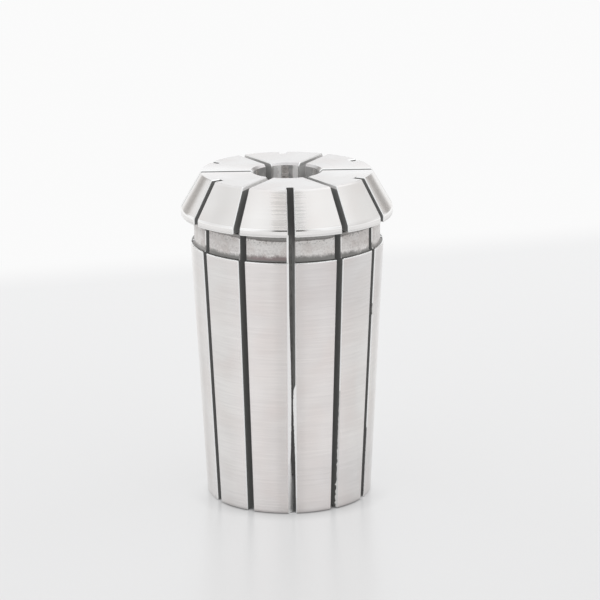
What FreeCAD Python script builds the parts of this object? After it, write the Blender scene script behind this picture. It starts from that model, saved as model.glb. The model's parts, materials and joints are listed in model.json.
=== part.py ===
"""A double-slit spring collet: one turned, bored and sawn piece of spring steel.

It stands on its rear face. The origin is the middle of that face, and +Z is the collet's axis,
pointing at the nose. The body tapers 1 in 10 towards the rear, the head carries the 30 degree
nose cone, and an extraction groove parts the two. Radial saw cuts, by turns from the rear and
from the front, let the bore close evenly on a shank.
"""
import FreeCAD, Part
import os
import Sketcher

PIECE = "collet"
SAME_PLACE = 1e-4

# Driving sizes, in millimetres and degrees
SIZES = [
    ("overall_length", 40, "rear face to front face"),
    ("head_diameter", 25.5, "largest diameter, the head band"),
    ("nose_height", 4.35, "nose cone, along the axis"),
    ("nose_angle", 30, "nose cone, from the axis to its surface"),
    ("band_height", 0.8, "cylindrical band between the cone and the head's underside"),
    ("groove_width", 3.35, "extraction groove, along the axis"),
    ("head_step", 1.12, "head band, out from the top edge of the body"),
    ("groove_depth", 0.43, "groove floor, in from the top edge of the body"),
    ("groove_corner", 0.2, "slant that the grooving tool leaves in both corners"),
    ("taper_ratio", 10, "body length in which its diameter grows by one"),
    ("bore_diameter", 8, "bore that closes on the shank"),
    ("mouth_chamfer", 0.25, "bore mouth in the front face"),
    ("tail_chamfer", 0.15, "bore and outer edge at the rear face"),
    ("band_edge", 0.18, "both edges of the head band"),
    ("edge_break", 0.08, "top edge of the body and rim of the front face"),
    ("saw_cuts", 6, "cuts from each end, evenly spaced"),
    ("saw_width", 0.8, "width of every cut"),
    ("blade_radius", 20, "saw blade, left at the root of each cut"),
    ("breakthrough", 1, "how far a cut reaches past the wall into the bore"),
    ("front_notch", 1.1, "run-out of a rear cut, in from the rim of the front face"),
    ("rear_notch", 1, "run-out of a front cut, in from the small end of the taper"),
    ("overtravel", 2, "how far a cut's outline passes outside the steel"),
]

# Sizes that follow from them, as formulas
HEAD_RADIUS = "(sizes.head_diameter / 2)"
FACE_RADIUS = f"({HEAD_RADIUS} - sizes.nose_height * tan(sizes.nose_angle * 1deg))"
BAND_TOP = "(sizes.overall_length - sizes.nose_height)"
HEAD_FOOT = f"({BAND_TOP} - sizes.band_height)"
BODY_TOP = f"({HEAD_FOOT} - sizes.groove_width)"
BODY_TOP_RADIUS = f"({HEAD_RADIUS} - sizes.head_step)"
REAR_RADIUS = f"({BODY_TOP_RADIUS} - {BODY_TOP} / sizes.taper_ratio / 2)"
HEAD_FOOT_RADIUS = f"({REAR_RADIUS} + {HEAD_FOOT} / sizes.taper_ratio / 2)"
GROOVE_FLOOR = f"({BODY_TOP_RADIUS} - sizes.groove_depth)"
BORE_RADIUS = "(sizes.bore_diameter / 2)"
CUT_FLOOR = f"({BORE_RADIUS} - sizes.breakthrough)"
CUT_EDGE = f"({HEAD_RADIUS} + sizes.overtravel)"

doc = FreeCAD.newDocument("spring_collet")
sheet = doc.addObject("Spreadsheet::Sheet", "sizes")
for row, (alias, value, note) in enumerate(SIZES, start=1):
    sheet.set(f"A{row}", alias)
    sheet.set(f"B{row}", str(value))
    sheet.set(f"C{row}", note)
    sheet.setAlias(f"B{row}", alias)
doc.recompute()

body = doc.addObject("PartDesign::Body", PIECE)
body.Label = PIECE


def value_of(formula):
    return float(body.evalExpression(formula))


def origin_feature(role):
    return next(item for item in body.Origin.OriginFeatures if item.Role == role)


def new_sketch(name, plane):
    sketch = body.newObject("Sketcher::SketchObject", name)
    sketch.AttachmentSupport = (origin_feature(plane), [""])
    sketch.MapMode = "FlatFace"
    return sketch


def turn(sketch, axis, formula):
    """Turn a sketch about one of its own axes, by a formula in degrees."""
    rotation = FreeCAD.Rotation(FreeCAD.Vector(*axis), value_of(formula))
    sketch.AttachmentOffset = FreeCAD.Placement(FreeCAD.Vector(), rotation)
    sketch.setExpression("AttachmentOffset.Rotation.Angle", formula)


def place(sketch, line, end, corner):
    """Hold one end of a line where the corner's two formulas put it."""
    for kind, axis, formula in zip(("DistanceX", "DistanceY"), (-2, -1), corner):
        distance = value_of(formula)
        if formula == "0":
            sketch.addConstraint(Sketcher.Constraint("PointOnObject", line, end, axis))
            continue
        points = (-1, 1, line, end) if distance > 0 else (line, end, -1, 1)
        index = sketch.addConstraint(Sketcher.Constraint(kind, *points, abs(distance)))
        sketch.setExpression(f"Constraints[{index}]", f"abs({formula})")


def add_outline(sketch, corners, arc=None):
    """Closed outline through corners given as pairs of formulas, anticlockwise.

    The arc, if any, is the number of its first corner with its centre and radius.
    """
    count = len(corners)
    points = [FreeCAD.Vector(value_of(x), value_of(y), 0) for x, y in corners]
    for index, start in enumerate(points):
        end = points[(index + 1) % count]
        edge = Part.LineSegment(start, end)
        if arc and arc[0] == index:
            centre = FreeCAD.Vector(value_of(arc[1]), value_of(arc[2]), 0)
            circle = Part.Circle(centre, FreeCAD.Vector(0, 0, 1), value_of(arc[3]))
            edge = Part.ArcOfCircle(circle, circle.parameter(start), circle.parameter(end))
        sketch.addGeometry(edge, False)
    for index, corner in enumerate(corners):
        following = (index + 1) % count
        sketch.addConstraint(Sketcher.Constraint("Coincident", index, 2, following, 1))
        place(sketch, index, 1, corner)
    if arc:
        index = sketch.addConstraint(Sketcher.Constraint("Radius", arc[0], value_of(arc[3])))
        sketch.setExpression(f"Constraints[{index}]", arc[3])


def advance(feature, grows=False):
    """Make the feature the body's latest state, and check that steel came or went with it."""
    before = body.Shape.Volume if not body.Shape.isNull() else 0
    body.Tip = feature
    doc.recompute()
    change = body.Shape.Volume - before
    print(f"{feature.Label}: {change:+.2f} mm3")
    if change == 0 or (change > 0) != grows:
        raise RuntimeError(f"{feature.Label} changed the volume by {change:.2f} mm3")


def edges_at(corners):
    """Names of the circular edges of the body at the given radii and heights."""
    names = []
    for x, y in corners:
        radius, height = value_of(x), value_of(y)
        for number, edge in enumerate(body.Shape.Edges, start=1):
            ring = edge.Curve
            if isinstance(ring, Part.Circle) and abs(ring.Radius - radius) < SAME_PLACE:
                if abs(ring.Center.z - height) < SAME_PLACE:
                    names.append(f"Edge{number}")
    if len(names) != len(corners):
        raise RuntimeError(f"{len(names)} edges found at {len(corners)} corners")
    return names


def chamfer_edges(name, corners, formula, grows=False):
    """Chamfer the circular edges at the corners, by a formula. It fills an inner corner."""
    edges = (body.Tip, edges_at(corners))
    chamfer = body.newObject("PartDesign::Chamfer", name)
    chamfer.Base = edges
    chamfer.setExpression("Size", formula)
    advance(chamfer, grows)


# Turned blank: rear face, taper, head underside, band, nose cone and front face
profile = new_sketch("blank_profile", "XZ_Plane")
add_outline(profile, [
    ("0", "0"),
    (REAR_RADIUS, "0"),
    (HEAD_FOOT_RADIUS, HEAD_FOOT),
    (HEAD_RADIUS, HEAD_FOOT),
    (HEAD_RADIUS, BAND_TOP),
    (FACE_RADIUS, "sizes.overall_length"),
    ("0", "sizes.overall_length"),
])
blank = body.newObject("PartDesign::Revolution", "blank")
blank.Profile = profile
blank.ReferenceAxis = (profile, ["V_Axis"])
blank.Angle = 360
advance(blank, grows=True)

# Extraction groove, between the body's top edge and the head's underside
groove_profile = new_sketch("groove_profile", "XZ_Plane")
add_outline(groove_profile, [
    (GROOVE_FLOOR, BODY_TOP),
    (HEAD_RADIUS, BODY_TOP),
    (HEAD_RADIUS, HEAD_FOOT),
    (GROOVE_FLOOR, HEAD_FOOT),
])
groove = body.newObject("PartDesign::Groove", "extraction_groove")
groove.Profile = groove_profile
groove.ReferenceAxis = (groove_profile, ["V_Axis"])
groove.Angle = 360
advance(groove)

# Bore, right through, with the seam of its wall on the middle of a jaw and not in a cut
bore_circle = new_sketch("bore_circle", "XY_Plane")
turn(bore_circle, (0, 0, 1), "90 / sizes.saw_cuts")
ring = Part.Circle(FreeCAD.Vector(), FreeCAD.Vector(0, 0, 1), value_of(BORE_RADIUS))
bore_circle.addGeometry(ring, False)
bore_circle.addConstraint(Sketcher.Constraint("Coincident", 0, 3, -1, 1))
bore_circle.addConstraint(Sketcher.Constraint("Radius", 0, value_of(BORE_RADIUS)))
bore_circle.setExpression("Constraints[1]", BORE_RADIUS)
bore = body.newObject("PartDesign::Pocket", "bore")
bore.Profile = bore_circle
bore.Type = "ThroughAll"
bore.Reversed = True
advance(bore)

# Edges, before the saw parts them
chamfer_edges("groove_corners", [
    (GROOVE_FLOOR, BODY_TOP), (GROOVE_FLOOR, HEAD_FOOT),
], "min(sizes.groove_corner; sizes.groove_depth / 2)", grows=True)
chamfer_edges("band_edges", [
    (HEAD_RADIUS, HEAD_FOOT), (HEAD_RADIUS, BAND_TOP),
], "sizes.band_edge")
chamfer_edges("bore_mouth", [
    (BORE_RADIUS, "sizes.overall_length"),
], "sizes.mouth_chamfer")
chamfer_edges("tail_edges", [
    (BORE_RADIUS, "0"), (REAR_RADIUS, "0"),
], "sizes.tail_chamfer")
chamfer_edges("broken_edges", [
    (BODY_TOP_RADIUS, BODY_TOP), (FACE_RADIUS, "sizes.overall_length"),
], "sizes.edge_break")


def arc_drop(radius):
    """Formula for the axial distance from the blade's centre to its rim at a radius."""
    offset = f"({CUT_FLOOR} + sizes.blade_radius - {radius})"
    return f"sqrt(sizes.blade_radius ^ 2 - {offset} ^ 2)"


def saw_cuts(name, bearing, outline, arc):
    """One radial saw cut at a bearing given as a formula, and its copies round the axis."""
    sketch = new_sketch(f"{name}_profile", "XZ_Plane")
    turn(sketch, (0, 1, 0), bearing)
    add_outline(sketch, outline, arc)
    cut = body.newObject("PartDesign::Pocket", f"{name}_cut")
    cut.Profile = sketch
    cut.SideType = "Symmetric"
    cut.setExpression("Length", "sizes.saw_width")
    advance(cut)
    pattern = body.newObject("PartDesign::PolarPattern", f"{name}_cuts")
    pattern.Originals = [cut]
    pattern.Axis = (origin_feature("Z_Axis"), [""])
    pattern.Angle = 360
    pattern.setExpression("Occurrences", "sizes.saw_cuts")
    advance(pattern)


# Cuts from the front end: the blade stops short of the rear face and only notches its rim
BLADE_CENTRE_RADIUS = f"({CUT_FLOOR} + sizes.blade_radius)"
front_centre = arc_drop(f"({REAR_RADIUS} - sizes.rear_notch)")
front_end = "(sizes.overall_length + sizes.overtravel)"
saw_cuts("front", "0", [
    (CUT_FLOOR, front_centre),
    (CUT_EDGE, f"({front_centre} - {arc_drop(CUT_EDGE)})"),
    (CUT_EDGE, front_end),
    (CUT_FLOOR, front_end),
], (0, BLADE_CENTRE_RADIUS, front_centre, "sizes.blade_radius"))

# Cuts from the rear end, half a pitch round: these only notch the rim of the front face
rear_centre = (
    f"(sizes.overall_length - {arc_drop(f'({FACE_RADIUS} - sizes.front_notch)')})"
)
rear_end = "(-sizes.overtravel)"
saw_cuts("rear", "180 / sizes.saw_cuts", [
    (CUT_FLOOR, rear_end),
    (CUT_EDGE, rear_end),
    (CUT_EDGE, f"({rear_centre} + {arc_drop(CUT_EDGE)})"),
    (CUT_FLOOR, rear_centre),
], (2, BLADE_CENTRE_RADIUS, rear_centre, "sizes.blade_radius"))

for item in doc.Objects:
    if "Invalid" in item.State or "Error" in item.State:
        raise RuntimeError(f"{item.Label}: {item.State}")
if body.Shape.isNull() or not body.Shape.isValid() or len(body.Shape.Solids) != 1:
    raise RuntimeError(f"{PIECE} is not one valid solid")

os.makedirs("parts", exist_ok=True)
body.Shape.exportStep(f"parts/{PIECE}.step")
box = body.Shape.BoundBox
print(f"{PIECE}: {box.XLength:.3f} x {box.YLength:.3f} x {box.ZLength:.3f} mm")
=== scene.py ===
"""A double-slit spring collet standing on its rear face, on a small sheet of glossy white acrylic.

Metres, +Z up, the collet's axis on Z and its rear face at height 0. A cut sawn from the rear
faces -Y, the side that the camera sees. Sizes are named in millimetres.
"""
import json
import math

import bmesh
import bpy
from mathutils import Matrix, Vector, noise


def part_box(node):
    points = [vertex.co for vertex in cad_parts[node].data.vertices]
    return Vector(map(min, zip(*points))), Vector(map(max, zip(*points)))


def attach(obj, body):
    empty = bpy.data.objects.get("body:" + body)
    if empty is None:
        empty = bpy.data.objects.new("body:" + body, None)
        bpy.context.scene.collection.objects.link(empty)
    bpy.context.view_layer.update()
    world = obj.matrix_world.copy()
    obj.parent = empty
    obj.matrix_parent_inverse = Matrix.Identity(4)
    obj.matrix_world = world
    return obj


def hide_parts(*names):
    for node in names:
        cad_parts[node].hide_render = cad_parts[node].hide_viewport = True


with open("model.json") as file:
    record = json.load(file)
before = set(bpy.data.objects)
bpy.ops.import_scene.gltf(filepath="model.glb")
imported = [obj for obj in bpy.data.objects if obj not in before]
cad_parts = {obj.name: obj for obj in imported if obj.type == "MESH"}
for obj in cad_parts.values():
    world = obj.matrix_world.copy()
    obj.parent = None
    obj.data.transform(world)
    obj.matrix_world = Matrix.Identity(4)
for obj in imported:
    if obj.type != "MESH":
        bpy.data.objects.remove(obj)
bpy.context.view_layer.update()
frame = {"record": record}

# Collet
# One piece of spring steel: turned and bored from bar, sawn into twelve jaws by cuts from both
# ends, hardened, then ground on the taper, the nose cone and the front face. The extraction
# groove stays as turned, and the cuts keep the dark scale of the hardening.
MM = 0.001
SAW_WIDTH = 0.8
box_foot, box_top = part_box("collet")
LENGTH = (box_top.z - box_foot.z) / MM
HEAD_RADIUS = math.hypot(box_top.x / MM, SAW_WIDTH / 2)
NOSE_HEIGHT = 4.35
NOSE_ANGLE = math.radians(30)
FACE_RADIUS = HEAD_RADIUS - NOSE_HEIGHT * math.tan(NOSE_ANGLE)
BAND_TOP = LENGTH - NOSE_HEIGHT
HEAD_FOOT = BAND_TOP - 0.8
BODY_TOP = HEAD_FOOT - 3.35
BODY_TOP_RADIUS = HEAD_RADIUS - 1.12
REAR_RADIUS = BODY_TOP_RADIUS - BODY_TOP / 10 / 2
GROOVE_FLOOR = BODY_TOP_RADIUS - 0.43
mounts = {mount["name"]: mount for mount in frame["record"]["mounts"]}
BORE_RADIUS = mounts["bore"]["dims"]["r_mm"]

SAW_CUTS = 6
BLADE_RADIUS = 20
BLADE_REACH = BORE_RADIUS - 1 + BLADE_RADIUS
FRONT_NOTCH_RADIUS = FACE_RADIUS - 1.1
REAR_NOTCH_RADIUS = REAR_RADIUS - 1

ROW_HEIGHT = 0.25
JAW_STEPS = 12
JAW_ANGLE = math.pi / SAW_CUTS
ARC_STEPS = 20
DEBURR = 0.1
WELD = 0.0005
SHARP_ANGLE = math.radians(35)


def blade_drop(radius):
    """How far along the axis the blade's rim lies from its centre, at a radius of the collet."""
    return math.sqrt(BLADE_RADIUS ** 2 - (BLADE_REACH - radius) ** 2)


FRONT_CUT_CENTRE = blade_drop(REAR_NOTCH_RADIUS)
REAR_CUT_CENTRE = LENGTH - blade_drop(FRONT_NOTCH_RADIUS)

GROUND, BRIGHT, TURNED, BORED, SAWN, DEBURRED = range(6)


def place(radius, height):
    return Vector((radius * MM, 0, height * MM))


def where(vert):
    """Radius, bearing and height of a vertex, in millimetres and radians."""
    return math.hypot(vert.co.x, vert.co.y) / MM, math.atan2(vert.co.y, vert.co.x), vert.co.z / MM


def lie_at(vert, radius, bearing):
    vert.co.x = radius * MM * math.cos(bearing)
    vert.co.y = radius * MM * math.sin(bearing)


def section_outline(bm):
    """Half section of the collet as one flat face, with its edges rounded."""
    # Radius and height of each corner, the size of its rounding and the steps round it
    corners = [
        (BORE_RADIUS, 0, 0.15, 1),
        (REAR_NOTCH_RADIUS, 0, 0, 0),
        (REAR_RADIUS, 0, 0.15, 2),
        (BODY_TOP_RADIUS, BODY_TOP, 0.12, 3),
        (GROOVE_FLOOR, BODY_TOP, 0.2, 3),
        (GROOVE_FLOOR, HEAD_FOOT, 0.2, 3),
        (HEAD_RADIUS, HEAD_FOOT, 0.1, 3),
        (HEAD_RADIUS, BAND_TOP, 0.18, 3),
        (FACE_RADIUS, LENGTH, 0.08, 2),
        (FRONT_NOTCH_RADIUS, LENGTH, 0, 0),
        (BORE_RADIUS, LENGTH, 0.3, 1),
        (BORE_RADIUS, REAR_CUT_CENTRE + blade_drop(BORE_RADIUS), 0, 0),
        (BORE_RADIUS, FRONT_CUT_CENTRE - blade_drop(BORE_RADIUS), 0, 0),
    ]
    verts = [bm.verts.new(place(radius, height)) for radius, height, *_ in corners]
    bm.faces.new(verts)
    for vert, (_, _, size, steps) in zip(verts, corners):
        if size:
            bmesh.ops.bevel(
                bm, geom=[vert], offset=size * MM, segments=steps, profile=0.5,
                affect="VERTICES", material=-1,
            )
    bmesh.ops.delete(bm, geom=bm.faces[:], context="FACES_ONLY")
    for edge in bm.edges[:]:
        cuts = round(edge.calc_length() / MM / ROW_HEIGHT) - 1
        if cuts > 0:
            bmesh.ops.subdivide_edges(bm, edges=[edge], cuts=cuts)
    bmesh.ops.contextual_create(bm, geom=bm.edges[:])


def split_at_root(bm, centre, side, notch_radius):
    """Split the half section along the root of a saw cut, from its notch to the bore."""
    points = []
    for step in range(ARC_STEPS + 1):
        radius = notch_radius + (BORE_RADIUS - notch_radius) * step / ARC_STEPS
        points.append(place(radius, centre + side * blade_drop(radius)))
    ends = [
        min(bm.verts, key=lambda vert: (vert.co - point).length)
        for point in (points[0], points[-1])
    ]
    face = next(item for item in bm.faces if all(vert in item.verts for vert in ends))
    bmesh.utils.face_split(face, *ends, coords=points[1:-1])


def on_root(vert):
    """True on the root of a saw cut, where the blade's rim has been."""
    radius, _, height = where(vert)
    centre = FRONT_CUT_CENTRE if height < LENGTH / 2 else REAR_CUT_CENTRE
    return abs(math.hypot(radius - BLADE_REACH, height - centre) - BLADE_RADIUS) < WELD


def finish_of(face):
    """How a face of the skin was made: ground, left bright by the lathe, turned or bored."""
    centre = face.calc_center_median()
    radius, height = math.hypot(centre.x, centre.y) / MM, centre.z / MM
    if radius < BORE_RADIUS + 0.01:
        return BORED
    if BODY_TOP < height < HEAD_FOOT + 0.01 and radius < HEAD_RADIUS - 0.1:
        return TURNED
    if HEAD_FOOT < height < BAND_TOP + 0.13:
        return BRIGHT
    return GROUND


def half_jaw(bm):
    """One twelfth of the collet, from the middle of a front cut to the middle of a rear cut."""
    section_outline(bm)
    split_at_root(bm, FRONT_CUT_CENTRE, -1, REAR_NOTCH_RADIUS)
    split_at_root(bm, REAR_CUT_CENTRE, 1, FRONT_NOTCH_RADIUS)
    bmesh.ops.spin(
        bm, geom=bm.faces[:] + bm.edges[:] + bm.verts[:], cent=(0, 0, 0), axis=(0, 0, 1),
        angle=JAW_ANGLE, steps=JAW_STEPS,
    )
    first, last = [], []
    for face in bm.faces:
        bearings = [where(vert)[1] for vert in face.verts]
        face.material_index = finish_of(face)
        if max(bearings) < WELD:
            first.append(face)
        elif min(bearings) > JAW_ANGLE - WELD:
            last.append(face)
    for vert in bm.verts:
        radius, bearing, _ = where(vert)
        clear = math.asin(SAW_WIDTH / 2 / radius)
        lie_at(vert, radius, clear + bearing / JAW_ANGLE * (JAW_ANGLE - 2 * clear))
    walls = []
    for cap, bearing, is_web in (
        (first, 0, lambda height: height < LENGTH / 3),
        (last, JAW_ANGLE, lambda height: height > LENGTH / 2),
    ):
        web = next(face for face in cap if all(is_web(where(vert)[2]) for vert in face.verts))
        wall = [face for face in cap if face is not web]
        shared = [edge for edge in wall[0].edges if edge in wall[1].edges[:]]
        bmesh.ops.dissolve_edges(bm, edges=shared, use_verts=True)
        beside = {face for edge in web.edges for face in edge.link_faces if face is not web}
        wall = max(beside, key=lambda face: len(face.verts))
        wall.material_index = SAWN
        walls.append(wall)
        made = bmesh.ops.extrude_face_region(bm, geom=[web])["geom"]
        for vert in made:
            if isinstance(vert, bmesh.types.BMVert):
                lie_at(vert, where(vert)[0], bearing)
        ends = [item for item in made if isinstance(item, bmesh.types.BMFace)]
        bmesh.ops.delete(bm, geom=ends + [web], context="FACES_ONLY")
    for face in bm.faces:
        if len(face.verts) == 4 and sum(on_root(vert) for vert in face.verts) == 4:
            face.material_index = SAWN
    rims = [
        edge for wall in walls for edge in wall.edges
        if not all(on_root(vert) for vert in edge.verts)
    ]
    chamfers = bmesh.ops.bevel(
        bm, geom=rims, offset=DEBURR * MM, segments=1, profile=0.5, affect="EDGES",
        clamp_overlap=False, material=-1,
    )
    for face in chamfers["faces"]:
        face.material_index = DEBURRED


def sawn_collet(bm):
    """All twelve jaws, from one half jaw, its mirror image and their copies."""
    half_jaw(bm)
    bmesh.ops.mirror(
        bm, geom=bm.verts[:] + bm.edges[:] + bm.faces[:], matrix=Matrix(), merge_dist=WELD * MM,
        axis="Y",
    )
    bmesh.ops.spin(
        bm, geom=bm.faces[:] + bm.edges[:] + bm.verts[:], cent=(0, 0, 0), axis=(0, 0, 1),
        angle=2 * JAW_ANGLE * (SAW_CUTS - 1), steps=SAW_CUTS - 1, use_duplicate=True,
    )
    bmesh.ops.remove_doubles(bm, verts=bm.verts[:], dist=WELD * MM)
    bmesh.ops.recalc_face_normals(bm, faces=bm.faces[:])
    for face in bm.faces:
        face.smooth = face.material_index != SAWN
    for edge in bm.edges:
        edge.smooth = edge.is_manifold and edge.calc_face_angle() < SHARP_ANGLE


mesh = bpy.data.meshes.new("spring_collet")
bm = bmesh.new()
sawn_collet(bm)
bm.to_mesh(mesh)
bm.free()


class Shade:
    """A node's output. A sum or product with it adds the Math node that works it out."""

    def __init__(self, tree, socket=None):
        self.tree = tree
        self.socket = socket

    def node(self, kind, settings=None, sockets=None, result=0):
        """Add a node of any kind: its settings first, then its sockets' values or links."""
        node = self.tree.nodes.new(kind)
        for name, value in (settings or {}).items():
            if name == "stops":
                while len(node.color_ramp.elements) < len(value):
                    node.color_ramp.elements.new(1)
                for element, (position, grey) in zip(node.color_ramp.elements, value):
                    element.position = position
                    element.color = (grey, grey, grey, 1)
            else:
                setattr(node, name, value)
        for name, value in (sockets or {}).items():
            if isinstance(value, Shade):
                self.tree.links.new(value.socket, node.inputs[name])
            else:
                node.inputs[name].default_value = value
        return Shade(self.tree, node.outputs[result] if node.outputs else None)

    def maths(self, operation, first, second=0.0):
        return self.node("ShaderNodeMath", {"operation": operation}, {0: first, 1: second})

    def __add__(self, other):
        return self.maths("ADD", self, other)

    __radd__ = __add__

    def __mul__(self, other):
        return self.maths("MULTIPLY", self, other)

    __rmul__ = __mul__

    def __sub__(self, other):
        return self.maths("SUBTRACT", self, other)

    def __rsub__(self, other):
        return self.maths("SUBTRACT", other, self)

    def __truediv__(self, other):
        return self.maths("DIVIDE", self, other)


def new_material(name):
    material = bpy.data.materials.new(name)
    material.use_nodes = True
    material.node_tree.nodes.clear()
    return material, Shade(material.node_tree)


def split_axes(point):
    """The X, Y and Z of a vector."""
    parts = point.node("ShaderNodeSeparateXYZ", sockets={"Vector": point}).socket.node
    return [Shade(point.tree, socket) for socket in parts.outputs]


def distance(x, y):
    return x.maths("SQRT", x * x + y * y)


def noise_at(point, scale, detail=2.0, roughness=0.5):
    """Noise from 0 to 1 at a point, in features per metre."""
    return point.node(
        "ShaderNodeTexNoise", {"noise_dimensions": "3D"},
        {"Vector": point, "Scale": scale, "Detail": detail, "Roughness": roughness},
    )


def rise(value, low, high):
    """From 0 below the low value to 1 above the high one, smoothly; or down, if they swap."""
    return value.node(
        "ShaderNodeMapRange", {"interpolation_type": "SMOOTHSTEP"},
        {"Value": value, "From Min": low, "From Max": high},
    )


def mix(share, first, second, how="MIX"):
    return share.node(
        "ShaderNodeMix", {"data_type": "RGBA", "blend_type": how},
        {0: share, 6: first, 7: second}, result=2,
    )


def start_steel(name):
    """A steel finish: its point, and another that is drawn out round the axis."""
    material, start = new_material(name)
    spot = start.node("ShaderNodeTexCoord", result="Object")
    x, y, height = split_axes(spot)
    round_axis = start.node(
        "ShaderNodeCombineXYZ",
        sockets={"X": x * 0.03, "Y": y * 0.03, "Z": height - distance(x, y)},
    )
    return material, spot, round_axis


def end_steel(colour, marks, depth, **shader):
    """The shader itself, with the tool marks as fine grooves of a depth in millimetres."""
    bump = colour.node(
        "ShaderNodeBump", sockets={"Height": marks, "Distance": depth * MM, "Strength": 1.0},
    )
    sockets = {"Base Color": colour, "Normal": bump, "Metallic": 1.0}
    sockets.update({name.replace("_", " "): value for name, value in shader.items()})
    surface = colour.node("ShaderNodeBsdfPrincipled", sockets=sockets)
    colour.node("ShaderNodeOutputMaterial", sockets={"Surface": surface})


QUARTER_TURN = 0.25
TOOL_LINES = 1 / (0.3 * MM)
FINE_LINES = 1 / (0.17 * MM)
WARM = (1.0, 0.965, 0.955, 1)
COOL = (0.975, 0.985, 0.985, 1)

# Ground on every outer face. Painted shade darkens the taper at its foot, at its sides, right of
# the camera's cut and at its top right, for the darker things it reflects there, and painted
# reflection makes it a little rosy between its sides and the cone warm left of that cut. Beside
# that cut the cone's grinding lines differ more in gloss. The bore's mouth has a painted shade, the
# body's top edge a painted highlight, and the front face is painted a little brighter and cooler, a
# painted sheen.
material, spot, round_axis = start_steel("ground_spring_steel")
x, y, height = split_axes(spot)
taper = rise(height, HEAD_FOOT * MM, BODY_TOP * MM)
lines = noise_at(round_axis, TOOL_LINES, 3.0, 0.6)
fine_lines = noise_at(round_axis, FINE_LINES, 2.0, 0.6)
clouds = noise_at(spot, 240.0, 1.0)
marks = clouds * 0.75 + rise(fine_lines, 0.35, 0.65) * (taper * 0.24 + 0.03)
colour = mix(marks, (0.81, 0.79, 0.775, 1), (0.955, 0.94, 0.92, 1))
patches = rise(noise_at(spot, 300.0, 0.0), 0.35, 0.65)
colour = mix(patches, colour, mix(clouds, WARM, COOL), "MULTIPLY")
aside = spot.maths("ABSOLUTE", x)
# Painted reflection: a faint rosy tint between the taper's sides.
rosy = taper * rise(aside, 8.5 * MM, 5 * MM)
colour = mix(rosy, colour, (1.0, 0.978, 0.982, 1), "MULTIPLY")
# Painted shade: the taper is darker at its foot, its sides, its right and its top right.
top_shade = rise(height, 20 * MM, 30 * MM) * taper * (rise(x, -2 * MM, 3 * MM) * 0.75 + 0.25)
side_shade = taper * rise(aside, 5 * MM, 8 * MM) * rise(aside, 11 * MM, 10 * MM) * 0.25
foot_shade = rise(height, 9 * MM, 4 * MM) * (rise(x, -2 * MM, 8 * MM) * 0.36 + 0.24)
right_shade = taper * rise(x, 0.0, 2 * MM) * 0.1
painted_shade = top_shade + foot_shade + side_shade + right_shade
colour = mix(painted_shade, colour, (0.86, 0.86, 0.87, 1), "MULTIPLY")
# Painted shade: darker at the bore's mouth.
mouth = rise(distance(x, y), (BORE_RADIUS + 0.35) * MM, (BORE_RADIUS + 0.2) * MM)
mouth = mouth * rise(height, (LENGTH - 0.5) * MM, (LENGTH - 0.35) * MM)
colour = mix(mouth, colour, (0.78, 0.78, 0.79, 1), "MULTIPLY")
# Painted highlight: a near-white line along the body's top edge.
top_edge_highlight = rise(height, (BODY_TOP - 0.16) * MM, (BODY_TOP - 0.08) * MM)
top_edge_highlight = top_edge_highlight * rise(height, (BODY_TOP + 0.1) * MM, BODY_TOP * MM)
colour = mix(top_edge_highlight, colour, (1.0, 1.0, 0.995, 1))
# Painted sheen: the front face is a little brighter and cooler.
front_face_sheen = rise(height, (LENGTH - 0.3) * MM, (LENGTH - 0.1) * MM)
colour = mix(front_face_sheen, colour, (1.03, 1.035, 1.045, 1), "MULTIPLY")
fan = rise(spot.maths("ABSOLUTE", x + 0.3 * MM), 2.25 * MM, 1.5 * MM)
fan = fan * rise(height, BAND_TOP * MM, (BAND_TOP + 0.2) * MM)
fan = fan * rise(height, (LENGTH - 0.1) * MM, (LENGTH - 0.6) * MM)
# Painted reflection: left of the camera's cut the cone is tinted warm.
left_fan_reflection_tint = fan * rise(x, 0.4 * MM, -0.4 * MM)
colour = mix(left_fan_reflection_tint, colour, (1.0, 0.985, 0.975, 1), "MULTIPLY")
gloss = (rise(lines, 0.62, 0.38) - 0.5) * (fan * 0.18 + 0.025) + 0.25
end_steel(
    colour, lines, 0.003, Roughness=gloss, Anisotropic=0.95, Anisotropic_Rotation=QUARTER_TURN,
)
mesh.materials.append(material)

material, spot, round_axis = start_steel("bright_turned_band")
height = split_axes(spot)[2]
lines = noise_at(round_axis, 1 / (0.25 * MM), 2.0)
colour = mix(lines, (0.77, 0.76, 0.75, 1), (0.85, 0.835, 0.825, 1))
# Painted highlights: the band's two rounded edges are near white.
middle = rise(height, (HEAD_FOOT + 0.1) * MM, (HEAD_FOOT + 0.18) * MM)
middle = middle * rise(height, (BAND_TOP - 0.1) * MM, (BAND_TOP - 0.2) * MM)
colour = mix(middle, (0.96, 0.95, 0.94, 1), colour)
end_steel(colour, lines, 0.002, Roughness=0.16)
mesh.materials.append(material)

# The groove is speckled, and keeps scale in both corners, where the tumbling did not reach: grey,
# reddish in the foot's corner left of the camera's cut, and darker at its own edge under the head.
# The dark of both corners is that scale and painted shade together. Towards the head the groove's
# sides are painted darker, a painted shade of the head's overhang, and from just under the head
# over its underside it is painted near black, a painted shade.
GREY_SCALE = (0.205, 0.203, 0.195, 1)
RED_SCALE = (0.25, 0.195, 0.195, 1)
DARK_SCALE = (0.11, 0.1, 0.095, 1)
# Painted shade just under the head: near black.
UNDER_HEAD_SHADE = (0.05, 0.05, 0.048, 1)

material, spot, round_axis = start_steel("turned_groove")
x, _, height = split_axes(spot)
aside = spot.maths("ABSOLUTE", x)
lines = noise_at(round_axis, TOOL_LINES, 2.0)
specks = noise_at(spot, 4200.0, 3.0, 0.7)
clouds = noise_at(spot, 500.0, 2.0)
grain = rise(specks * 0.7 + lines * 0.3, 0.3, 0.7)
colour = mix(grain, (0.65, 0.63, 0.615, 1), (0.88, 0.86, 0.845, 1))
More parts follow.
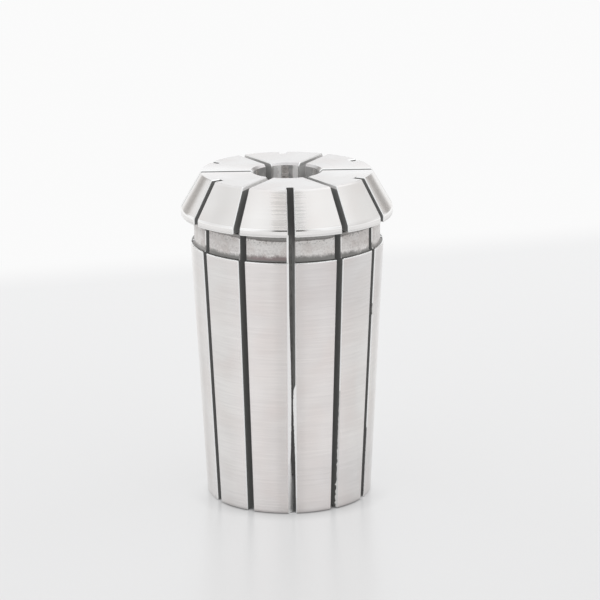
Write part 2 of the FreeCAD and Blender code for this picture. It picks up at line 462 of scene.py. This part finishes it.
# Painted shade: the sides of the groove darken towards the head.
shaded = rise(aside, 4 * MM, 8 * MM) * rise(aside, 10.6 * MM, 9.8 * MM)
shaded = shaded * rise(height, (BODY_TOP + 0.4) * MM, (BODY_TOP + 1.2) * MM)
colour = mix(shaded, colour, (0.86, 0.85, 0.85, 1), "MULTIPLY")
blotches = rise(noise_at(spot, 700.0, 2.0), 0.4, 0.65)
colour = mix(blotches, colour, (0.9, 0.88, 0.87, 1), "MULTIPLY")
rosy = rise(x, 0.4 * MM, -0.4 * MM) * rise(x, -6 * MM, -4 * MM) * rise(clouds, 0.35, 0.55)
rosy = rosy * rise(height, (BODY_TOP + 0.1) * MM, (BODY_TOP + 0.3) * MM)
rosy = rosy * rise(height, (BODY_TOP + 2) * MM, (BODY_TOP + 1.5) * MM)
scale = mix(rosy, GREY_SCALE, RED_SCALE)
wander = (clouds - 0.5) * (0.9 * MM) + (specks - 0.5) * (0.5 * MM)
left_lower = aside * rise(x, 1 * MM, -3 * MM) * 0.04
right_lower = rise(x, -1 * MM, 1 * MM) * (rise(x, 3 * MM, 8 * MM) * 0.35 + 0.1) * MM
foot = height + wander + left_lower + right_lower
# Scale and painted shade together in the foot's corner.
foot_scale_and_shade = rise(foot, (BODY_TOP + 1.1) * MM, (BODY_TOP + 0.55) * MM)
foot_scale_and_shade = foot_scale_and_shade * (0.9 - rise(aside, 8.5 * MM, 10.5 * MM) * 0.25)
colour = mix(foot_scale_and_shade, colour, scale)
head = height + wander * 0.4 - rise(aside, 2 * MM, 7 * MM) * (0.16 * MM)
stains = rise(head, (HEAD_FOOT - 1.9) * MM, (HEAD_FOOT - 1.0) * MM) * rise(specks, 0.5, 0.62)
colour = mix(stains * 0.6, colour, scale)
# Scale and painted shade together in the corner under the head.
head_scale_and_shade = rise(head, (HEAD_FOOT - 0.9) * MM, (HEAD_FOOT - 0.8) * MM)
dark_edge = rise(head, (HEAD_FOOT - 0.62) * MM, (HEAD_FOOT - 0.74) * MM) * rise(specks, 0.25, 0.5)
scale = mix(dark_edge, scale, DARK_SCALE)
# Painted shade: near black just under the head and on its underside.
behind_head_shade = rise(height, (HEAD_FOOT - 0.4) * MM, (HEAD_FOOT - 0.3) * MM)
scale = mix(behind_head_shade, scale, UNDER_HEAD_SHADE)
head_scale_and_shade = head_scale_and_shade * (0.8 - rise(aside, 5 * MM, 8 * MM) * 0.3 + behind_head_shade * 0.4)
colour = mix(head_scale_and_shade, colour, scale)
end_steel(colour, specks, 0.006, Roughness=0.45)
mesh.materials.append(material)

# Deep in the bore and the cuts, a faint glow stands for light that reaches there only after more
# reflections than a render follows. The bore has two painted highlights at the back, pale in colour
# and glowing more.
DEEP_LIGHT = (0.03, 0.03, 0.0295, 1)
STREAK_LIGHT = (0.085, 0.084, 0.082, 1)

material, spot, round_axis = start_steel("bored_wall")
x = split_axes(spot)[0]
lines = noise_at(round_axis, TOOL_LINES, 2.0)
clouds = noise_at(spot, 650.0, 3.0, 0.65)
mottle = rise(clouds, 0.4, 0.62)
# Painted highlights: two pale, glowing stripes at the back of the bore.
highlight_streaks = rise(x, -1.6 * MM, -1.3 * MM) * rise(x, -0.4 * MM, -0.6 * MM)
highlight_streaks = highlight_streaks + rise(x, 0.8 * MM, 1.0 * MM) * rise(x, 2.4 * MM, 2.0 * MM)
colour = mix(mottle, (0.36, 0.355, 0.35, 1), (0.55, 0.54, 0.53, 1))
highlight_streaks = highlight_streaks * (mottle * 0.4 + 0.6)
colour = mix(highlight_streaks, colour, (0.98, 0.97, 0.96, 1))
glow = mix(highlight_streaks, DEEP_LIGHT, STREAK_LIGHT)
end_steel(
    colour, lines, 0.004, Roughness=0.4, Metallic=0.35, Emission_Color=glow, Emission_Strength=1.0,
)
mesh.materials.append(material)

# Painted light: the walls of the cuts are pale just below the front face, the most at the jaws'
# outer ends and in the cut front left, and the two at the back are pale beside the bore. The
# notches in the front face's rim stay dark. The camera's cut glows more, in mottles, from about 5
# mm up to
# the groove: painted light.
material, spot, _ = start_steel("sawn_and_scaled")
x, y, height = split_axes(spot)
aside = spot.maths("ABSOLUTE", x)
specks = noise_at(spot, 2600.0, 3.0, 0.6)
clouds = noise_at(spot, 900.0, 2.0)
colour = mix(specks, (0.155, 0.157, 0.152, 1), (0.23, 0.23, 0.226, 1))
# Painted light: pale walls just below the front face.
lit_near_face = rise(height, (LENGTH - 0.5) * MM, (LENGTH - 0.4) * MM) * rise(aside, 0.6 * MM, 0.9 * MM)
lit_near_face = lit_near_face * rise(aside, 7 * MM, 6 * MM)
lit_near_face = lit_near_face * rise(spot.maths("ABSOLUTE", y), 0.5 * MM, 0.9 * MM)
front_left = rise(x, -0.8 * MM, -1.4 * MM) * rise(y, -1.0 * MM, -1.8 * MM)
outer_end = rise(distance(x, y), 6 * MM, 10 * MM)
pale = mix(specks, (0.4, 0.39, 0.385, 1), (0.5, 0.49, 0.48, 1))
pale = mix(spot.maths("MAXIMUM", front_left, outer_end * 0.7), pale, (0.95, 0.93, 0.92, 1))
colour = mix(lit_near_face, colour, pale)
# Painted light: pale walls beside the bore.
lit_beside_bore = rise(distance(x, y), 8 * MM, 6 * MM) * rise(y, 1 * MM, 2 * MM)
lit_beside_bore = lit_beside_bore * (rise(x, -0.5 * MM, 0.5 * MM) * 0.55 + 0.4)
colour = mix(lit_beside_bore * (1 - lit_near_face), colour, (0.66, 0.65, 0.64, 1))
# Painted light: a mottled glow in the camera's cut.
in_camera_cut = rise(aside, 0.55 * MM, 0.45 * MM) * rise(y, 0.0, -2 * MM)
lit = in_camera_cut * rise(height, 5 * MM, 11 * MM) * rise(height, HEAD_FOOT * MM, BODY_TOP * MM)
glow = mix(rise(clouds, 0.3, 0.7), (0.05, 0.05, 0.049, 1), (0.09, 0.09, 0.088, 1))
glow = mix(lit, DEEP_LIGHT, glow)
end_steel(
    colour, specks, 0.01, Roughness=0.55, Metallic=0.1, Emission_Color=glow, Emission_Strength=1.0,
)
mesh.materials.append(material)

# Deburring left every edge of the cuts bright, and their colour is near white, a painted highlight.
# In the groove they are a little duller, and scale covers them right of the camera's cut, but not
# on the lip at its left. In both corners they are darkened by scale and painted shade together.
material, spot, _ = start_steel("deburred_edge")
x, y, height = split_axes(spot)
specks = noise_at(spot, 2000.0, 2.0)
# Painted highlight: near-white edges.
colour = mix(specks, (0.92, 0.92, 0.915, 1), (1.0, 1.0, 0.99, 1))
inside = rise(distance(x, y), HEAD_RADIUS * MM, BODY_TOP_RADIUS * MM)
inside = inside * rise(height, BODY_TOP * MM, (BODY_TOP + 0.1) * MM)
inside = inside * rise(height, (HEAD_FOOT + 0.1) * MM, HEAD_FOOT * MM)
facing_camera = rise(y, 0.0, -2 * MM)
left_lip = rise(x, -0.85 * MM, -0.7 * MM) * rise(x, 0.1 * MM, -0.1 * MM) * facing_camera
inside = inside * (1 - left_lip)
right_edge = rise(x, 0.0, 0.2 * MM) * rise(x, 1.0 * MM, 0.8 * MM) * facing_camera
# Scale and painted shade together in both corners of the groove.
corners = rise(height, (BODY_TOP + 0.9) * MM, (BODY_TOP + 0.5) * MM)
corners = corners + rise(height, (HEAD_FOOT - 0.9) * MM, (HEAD_FOOT - 0.8) * MM)
scaled_and_shaded = inside * spot.maths("MAXIMUM", right_edge * 0.7, corners * 0.85)
colour = mix(inside, colour, (0.9, 0.89, 0.88, 1), "MULTIPLY")
colour = mix(scaled_and_shaded, colour, (0.2, 0.19, 0.185, 1))
end_steel(colour, specks, 0.003, Roughness=0.35)
mesh.materials.append(material)

collet = bpy.data.objects.new("spring_collet", mesh)
bpy.context.scene.collection.objects.link(collet)
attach(collet, "root")
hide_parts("collet")

# Burrs
# Lips of steel that the saw rolled over the edges of the cuts. The cut that faces the camera has
# one along each edge, and at its foot a wide one that bends inwards. Two cuts beside it have
# ragged edges near the base, ground with the taper.
LIP_STEP = 0.14
LIP_COVER = 0.12
LIP_ROOT = 0.3


def reach_at(reaches, height):
    """How far a lip reaches into its cut at a height, between its given heights."""
    for (start, reach), (end, next_reach) in zip(reaches, reaches[1:]):
        if start <= height <= end:
            return reach + (next_reach - reach) * (height - start) / (end - start)
    return 0.0


def roll_lip(bm, bearing, side, skin_radius, raggedness, reaches, plunge=0.25, finish=0):
    """A lip along one edge of a cut: extruded step by step up the edge from a small triangle."""
    turn = Matrix.Rotation(math.radians(bearing), 3, "Z")
    bottom, top = reaches[0][0], reaches[-1][0]
    steps = round((top - bottom) / LIP_STEP)
    face = None
    for step in range(steps + 1):
        height = bottom + (top - bottom) * step / steps
        radius = skin_radius(height)
        wave = noise.noise(Vector((height * 1.7, bearing, side)))
        tooth = noise.noise(Vector((height * 6.7, side, bearing)))
        reach = reach_at(reaches, height) * (1 + raggedness * (wave + 1.5 * tooth))
        reach = max(reach, 0.01)
        corners = [
            (SAW_WIDTH / 2 + LIP_COVER, radius + 0.01),
            (SAW_WIDTH / 2 - reach, radius - 0.02 - plunge * reach),
            (SAW_WIDTH / 2 + 0.02, radius - LIP_ROOT),
        ]
        points = [
            turn @ Vector((math.sqrt(out ** 2 - across ** 2), side * across, height)) * MM
            for across, out in corners
        ]
        if face is None:
            face = bm.faces.new([bm.verts.new(point) for point in points])
            face.material_index = finish
            last = points
            continue
        made = bmesh.ops.extrude_face_region(bm, geom=[face])["geom"]
        if step > 1 and face.is_valid:
            bmesh.ops.delete(bm, geom=[face], context="FACES_ONLY")
        face = next(item for item in made if isinstance(item, bmesh.types.BMFace))
        ring = [min(face.verts, key=lambda vert: (vert.co - old).length) for old in last]
        for vert, point in zip(ring, points):
            vert.co = point
        last = points


def body_radius(height):
    return REAR_RADIUS + height / 20


def groove_radius(height):
    return GROOVE_FLOOR + 0.09


lips = bpy.data.meshes.new("burrs")
bm = bmesh.new()
roll_lip(bm, 270, -1, body_radius, 0.1, [
    (6.2, 0.03), (7.2, 0.19), (10.4, 0.27), (14.2, 0.31), (18, 0.29), (21.8, 0.21),
    (25.6, 0.13), (31.45, 0.12),
])
roll_lip(bm, 270, -1, groove_radius, 0.1, [(31.4, 0.1), (34.8, 0.12)])
roll_lip(bm, 270, 1, body_radius, 0.22, [
    (2, 0.02), (3.5, 0.03), (6.6, 0.06), (10.4, 0.18), (14.2, 0.29), (15.8, 0.2), (16.4, 0.0),
])
roll_lip(bm, 270, -1, body_radius, 0.08, [
    (0.1, 0.5), (3.6, 0.46), (4.4, 0.36), (5.2, 0.27), (6.9, 0.2),
], plunge=1.05)
roll_lip(bm, 300, 1, body_radius, 1.0, [
    (0.15, 0.17), (2.9, 0.2), (3.3, 0.1), (9, 0.09), (12, 0.05), (15, 0.02),
], finish=1)
roll_lip(bm, 330, 1, body_radius, 0.6, [(0.3, 0.07), (6, 0.06), (9, 0.02)], finish=1)
roll_lip(bm, 330, 1, body_radius, 0.2, [(23.3, 0.02), (24, 0.12), (24.7, 0.02)], finish=1)
bmesh.ops.recalc_face_normals(bm, faces=bm.faces[:])
bm.to_mesh(lips)
bm.free()
lips.materials.append(bpy.data.materials["deburred_edge"])
lips.materials.append(bpy.data.materials["ground_spring_steel"])
burrs = bpy.data.objects.new("burrs", lips)
bpy.context.scene.collection.objects.link(burrs)
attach(burrs, "root")

# Acrylic sheet and backdrop
# The collet stands on a small square sheet of glossy white acrylic, turned a little, and past
# its far edge is a white backdrop, out of focus. One large plane carries both.
SHEET_REACH = 108 * MM
SHEET_TURN = math.radians(-12.5)
EDGE_BLUR = 9 * MM
FLOOR_REACH = 4.0
CONTACT = 0.45 * MM
CONTACT_EASED = 0.8
SHADOW = 3 * MM
SHADOW_DEPTH = 0.7
GLOW = 0.5
UNDER_COLLET = 0.12
CUT_MOUTH_GLOW = 0.38
BACKDROP_WHITE = 0.96

floor_mesh = bpy.data.meshes.new("acrylic_sheet")
bm = bmesh.new()
bmesh.ops.create_grid(bm, x_segments=1, y_segments=1, size=FLOOR_REACH)
bm.to_mesh(floor_mesh)
bm.free()
material, start = new_material("white_acrylic")
spot = start.node("ShaderNodeTexCoord", result="Object")
turned = start.node("ShaderNodeMapping", sockets={"Vector": spot, "Rotation": (0, 0, SHEET_TURN)})
across, away, _ = split_axes(turned)
reach = start.maths("MAXIMUM", start.maths("ABSOLUTE", across), start.maths("ABSOLUTE", away))
past_edge = rise(reach, SHEET_REACH - EDGE_BLUR, SHEET_REACH + EDGE_BLUR)
sheet = start.node(
    "ShaderNodeBsdfPrincipled",
    sockets={"Base Color": (0.243, 0.24, 0.241, 1), "Roughness": 0.26, "IOR": 1.4},
)
# The sheet's white is a glow that the camera, mirrors and glass see and that lights nothing. It
# fades under the collet, in a dark line of contact round its foot, fainter at both sides, and in
# a soft shadow in front. In the mouth of the camera's cut a painted pool of light keeps it bright.
path = start.node("ShaderNodeLightPath", result="Is Camera Ray")
mirrored = Shade(start.tree, path.socket.node.outputs["Is Glossy Ray"])
through = Shade(start.tree, path.socket.node.outputs["Is Transmission Ray"])
shown = start.maths("MAXIMUM", path, start.maths("MAXIMUM", mirrored, through))
clear, open_round = [
    start.node(
        "ShaderNodeAmbientOcclusion", {"samples": 8}, {"Distance": reach_out}, result="AO",
    )
    for reach_out in (CONTACT, SHADOW)
]
x, y, _ = split_axes(spot)
at_side = rise(start.maths("ABSOLUTE", x), 7.5 * MM, 9.5 * MM)
clear = 1 - (1 - clear) * (1 - at_side * CONTACT_EASED)
outside = rise(distance(x, y), (REAR_RADIUS - 1) * MM, REAR_RADIUS * MM)
level = (outside * (1 - UNDER_COLLET) + UNDER_COLLET) * clear * GLOW
level = level * (1 - (1 - open_round) * rise(y, 1 * MM, -9 * MM) * SHADOW_DEPTH)
# Painted light: the sheet stays bright in the mouth of the camera's cut.
cut_mouth_light = rise(start.maths("ABSOLUTE", x), 0.6 * MM, 0.35 * MM) * rise(y, 0.0, -2 * MM)
cut_mouth_light = cut_mouth_light * rise(distance(x, y), (REAR_RADIUS - 0.5) * MM, (REAR_RADIUS - 0.2) * MM)
cut_mouth_light = cut_mouth_light * rise(distance(x, y), (REAR_RADIUS + 0.6) * MM, REAR_RADIUS * MM)
level = start.maths("MAXIMUM", level, cut_mouth_light * CUT_MOUTH_GLOW)
white = start.node(
    "ShaderNodeEmission", sockets={"Color": mix(shown * level, (0, 0, 0, 1), (1, 1, 1, 1))},
)
glowing = start.node("ShaderNodeAddShader", sockets={0: sheet, 1: white})
backdrop = start.node(
    "ShaderNodeEmission", sockets={"Color": (1, 1, 1, 1), "Strength": BACKDROP_WHITE},
)
surface = start.node("ShaderNodeMixShader", sockets={0: past_edge, 1: glowing, 2: backdrop})
start.node("ShaderNodeOutputMaterial", sockets={"Surface": surface})
floor_mesh.materials.append(material)
floor = bpy.data.objects.new("acrylic_sheet", floor_mesh)
bpy.context.scene.collection.objects.link(floor)

# Light tent
# White fabric all round, as bright as white paper, and aimed at the camera. It has a dim gap on
# each side behind the collet, a dim opening in front, and the camera's own dark shape in it. It
# is a little brighter overhead, the most at the right, and dimmer low at the right.
CUT_TURN = math.radians(2.28)
OPENING_DIM = 0.2
CAMERA_DIM = 0.9
LOW_RIGHT_DIM = 0.14
OVERHEAD_LIFT = 0.08
RIGHT_LIFT = 0.4

world = bpy.data.worlds.new("light_tent")
world.use_nodes = True
world.node_tree.nodes.clear()
bpy.context.scene.world = world
start = Shade(world.node_tree)
x, y, z = split_axes(start.node("ShaderNodeTexCoord", result="Generated"))
flat = distance(x, y)
forward = y * -1 / flat
facing = (x * -math.sin(CUT_TURN) + y * -math.cos(CUT_TURN)) / flat
tent = start.node(
    "ShaderNodeValToRGB",
    {"stops": [
        (0.0, 1.0), (0.035, 1.0), (0.07, 0.4), (0.125, 0.4), (0.17, 1.0), (0.35, 0.91),
        (0.5, 0.81), (0.75, 0.95), (0.86, 1.0), (1.0, 1.0),
    ]},
    {0: facing * 0.5 + 0.5},
)
opening = rise(forward - z * 0.23, 0.772, 0.786)
in_front = rise(forward, 0.94, 0.965)
elevation = start.maths("ARCSINE", z)
under = rise(elevation, math.radians(32), math.radians(27))
over = rise(elevation, math.radians(3), math.radians(8))
camera_shape = in_front * under * over
low_right = rise(x, 0.5, 0.9) * rise(elevation, math.radians(35), math.radians(15))
overhead = rise(elevation, math.radians(25), math.radians(45))
at_right = rise(facing, -0.9, -0.55) * rise(facing, 0.5, 0.1) * rise(x, 0.0, 0.3)
radiance = tent * (1 - opening * OPENING_DIM) * (1 - camera_shape * CAMERA_DIM)
radiance = radiance * (1 - low_right * LOW_RIGHT_DIM)
radiance = radiance * (1 + overhead * (at_right * RIGHT_LIFT + OVERHEAD_LIFT))
fabric = mix(rise(radiance, 0.5, 0.95), (1.0, 0.97, 0.945, 1), (0.98, 0.99, 1.0, 1))
path = start.node("ShaderNodeLightPath", result="Is Camera Ray")
lit = start.node("ShaderNodeBackground", sockets={"Color": fabric, "Strength": radiance})
seen = start.node(
    "ShaderNodeBackground", sockets={"Color": (1, 1, 1, 1), "Strength": BACKDROP_WHITE},
)
surface = start.node("ShaderNodeMixShader", sockets={0: path, 1: lit, 2: seen})
start.node("ShaderNodeOutputWorld", sockets={"Surface": surface})

# Camera
# A long lens in front of the collet and a little above it, as in the photograph. The camera is
# turned from the front cut by the angle at which the cut shows.
CAMERA_DISTANCE = 322.8
CAMERA_HEIGHT = 113.75
HEADING = CUT_TURN + math.radians(0.266)
PITCH = math.radians(15.565)
ROLL = math.radians(-0.41)
FOCAL_PIXELS = 2762
IMAGE_WIDTH = 600
SENSOR_WIDTH = 36

lens = bpy.data.cameras.new("camera")
lens.sensor_width = SENSOR_WIDTH
lens.lens = FOCAL_PIXELS * SENSOR_WIDTH / IMAGE_WIDTH
lens.clip_start = 0.01
lens.clip_end = 20
camera = bpy.data.objects.new("camera", lens)
bpy.context.scene.collection.objects.link(camera)
position = Vector((
    -CAMERA_DISTANCE * math.sin(CUT_TURN), -CAMERA_DISTANCE * math.cos(CUT_TURN), CAMERA_HEIGHT,
))
camera.matrix_world = (
    Matrix.Translation(position * MM)
    @ Matrix.Rotation(-HEADING, 4, "Z")
    @ Matrix.Rotation(math.pi / 2 - PITCH, 4, "X")
    @ Matrix.Rotation(ROLL, 4, "Z")
)
bpy.context.scene.camera = camera

bpy.context.scene.view_settings.view_transform = "Standard"
